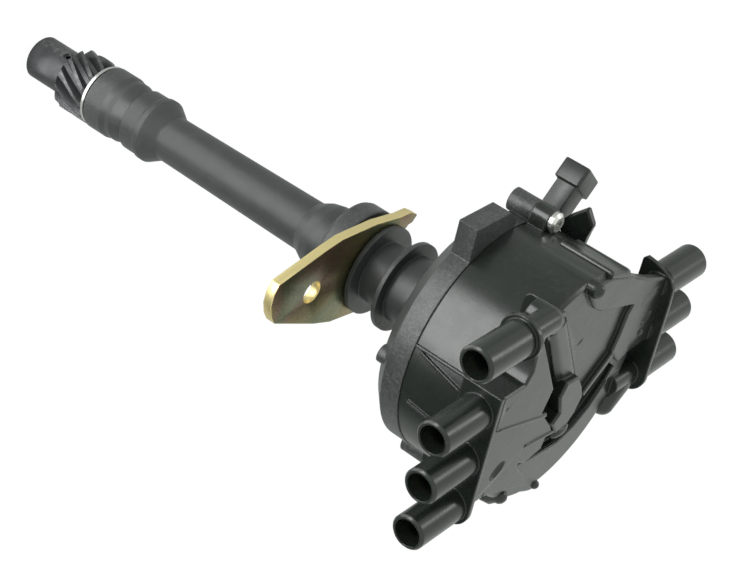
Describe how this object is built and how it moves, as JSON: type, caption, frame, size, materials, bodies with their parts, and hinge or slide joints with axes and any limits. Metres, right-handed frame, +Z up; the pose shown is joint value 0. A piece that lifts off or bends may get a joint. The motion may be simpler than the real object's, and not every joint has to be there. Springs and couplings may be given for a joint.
{
  "type": "ignition distributor",
  "caption": "Gear-driven ignition distributor: long cast stem with helical gear, clamp bracket, round body, and a black cap with sideways lead towers.",
  "frame": {"origin": "centre of the flange seat that rests on the engine, on the shaft axis", "axes": "+Z up the shaft towards the cap, +X to the side with the coil tower, -Y to the side of the cam sensor connector"},
  "size_m": [0.1888, 0.1327, 0.3378],
  "materials": {
    "housing_cast": "black coated casting, satin",
    "cap_plastic": "black moulded, glossy",
    "bright_steel": "bright",
    "yellow_zinc": "yellow zinc plated",
    "fibre": "matt",
    "bronze": "sintered",
    "seal_rubber": "matt",
    "black_plastic": "satin",
    "brass": "bright",
    "carbon": "matt",
    "shaft_steel": "ground",
    "gear_iron": "oiled, dark",
    "dark_steel": "dark",
    "rotor_plastic": "satin"
  },
  "bodies": {
    "distributor": {"distributor_housing": "housing_cast", "distributor_cap": "cap_plastic", "cap_screws": "bright_steel", "hold_down_bracket": "yellow_zinc", "flange_gasket": "fibre", "lower_bushing": "bronze", "upper_bushing": "bronze", "shaft_seal": "seal_rubber", "thrust_washer": "bright_steel", "camshaft_sensor": "black_plastic", "sensor_screws": "bright_steel", "sensor_connector": "black_plastic", "connector_terminals": "brass", "plug_conductors": "brass", "coil_conductor": "brass", "carbon_button": "carbon", "vent_screens": "brass"},
    "shaft": {"main_shaft": "shaft_steel", "drive_gear": "gear_iron", "gear_roll_pin": "dark_steel", "shutter_wheel": "dark_steel", "rotor": "rotor_plastic", "rotor_contact": "brass", "rotor_screws": "bright_steel"}
  },
  "joints": [
    {"name": "shaft_spin", "type": "hinge", "parent": "distributor", "child": "shaft", "pos_m": [0, 0, 0], "axis": [0, 0, 1], "continuous": true}
  ]
}
